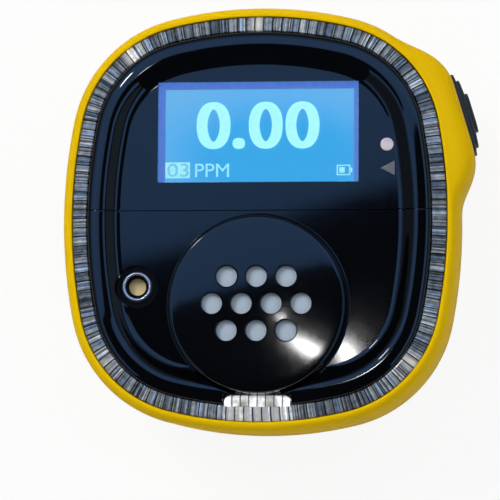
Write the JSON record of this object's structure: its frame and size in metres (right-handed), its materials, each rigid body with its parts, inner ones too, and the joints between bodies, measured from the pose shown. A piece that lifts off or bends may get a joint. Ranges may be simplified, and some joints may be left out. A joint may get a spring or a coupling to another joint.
{
  "type": "portable gas detector",
  "caption": "Clip-on gas detector with a yellow shell, clear light ring, dished black front, small display, perforated sensor grille, side key and sprung back clip.",
  "frame": {"origin": "on the resting plane, under the middle of the case, with the detector lying on its clip", "axes": "+Z out of the display face, +X to the right of the display, +Y towards the display's top"},
  "size_m": [0.067, 0.0686, 0.0322],
  "materials": {
    "backlight": "light guide",
    "battery": "foil pouch",
    "black_front": "gloss black",
    "black_plastic": "moulded",
    "board": "solder masked laminate",
    "brass": "thin disc",
    "ceramic": "silvered ceramic",
    "chip": "moulded package",
    "chrome": "polished",
    "clear_ring": "clear polycarbonate",
    "contact": "gold flashed",
    "flex": "polyimide",
    "foam": "closed cell foam",
    "lamp": "diffused",
    "lcd": "backlit liquid crystal",
    "marker": "translucent grey",
    "membrane": "hydrophobic membrane",
    "motor": "drawn can",
    "plate": "bare label",
    "rubber": "moulded rubber",
    "screw": "zinc plated",
    "sensor_case": "moulded",
    "shield": "shield can",
    "spring": "spring wire",
    "steel": "stamped stainless",
    "tungsten": "sintered",
    "window": "tinted clear",
    "yellow_shell": "satin moulded, yellow"
  },
  "bodies": {
    "case": {"arrow_marker": "marker", "battery_cell": "battery", "battery_contacts": "contact", "battery_pad": "foam", "beacon_leds": "lamp", "board_screws": "screw", "buzzer_housing": "black_plastic", "case_screws": "screw", "chassis": "black_plastic", "clip_base": "steel", "clip_pin": "screw", "clip_screws": "screw", "clip_spring": "spring", "display_window": "window", "dust_membrane": "membrane", "flex_cable": "flex", "front_gasket": "foam", "lcd_backlight": "backlight", "lcd_frame": "steel", "lcd_glass": "lcd", "led_board": "board", "light_ring": "clear_ring", "lower_cover": "black_front", "main_board": "board", "motor_cradle": "rubber", "piezo_ceramic": "ceramic", "piezo_plate": "brass", "port_ring": "chrome", "port_seal": "rubber", "processor_chip": "chip", "radio_module": "shield", "rating_plate": "plate", "rear_shell": "yellow_shell", "sensor_cell": "sensor_case", "sensor_gasket": "foam", "sensor_grille": "black_front", "sensor_sockets": "contact", "status_led": "lamp", "status_lens": "clear_ring", "tact_switch": "chip", "upper_cover": "black_front", "vibration_motor": "motor"},
    "key": {"side_button": "rubber"},
    "plunger": {"switch_plunger": "black_plastic"},
    "weight": {"vibration_weight": "tungsten", "motor_shaft": "steel"},
    "lever": {"clip_lever": "steel"}
  },
  "joints": [
    {"name": "key_press", "type": "slide", "parent": "case", "child": "key", "axis": [-0.9576, -0.288, 0], "range_m": [0, 0.0006], "stiffness_N_per_m": 2500, "springref_m": -0.0003},
    {"name": "plunger_press", "type": "slide", "parent": "case", "child": "plunger", "axis": [-0.9576, -0.288, 0], "range_m": [0, 0.0006]},
    {"name": "weight_spin", "type": "hinge", "parent": "case", "child": "weight", "pos_m": [0.0205, -0.007, 0.0168], "axis": [0, 1, 0], "continuous": true},
    {"name": "clip_open", "type": "hinge", "parent": "case", "child": "lever", "pos_m": [0, 0.002, 0.0035], "axis": [1, 0, 0], "range_deg": [0, 12], "stiffness_Nm_per_rad": 0.35, "springref_deg": -20.05, "deforming": ["clip_spring"]}
  ],
  "couplings": [
    {"joint": "plunger_press", "follows": "key_press", "ratio": 1}
  ]
}
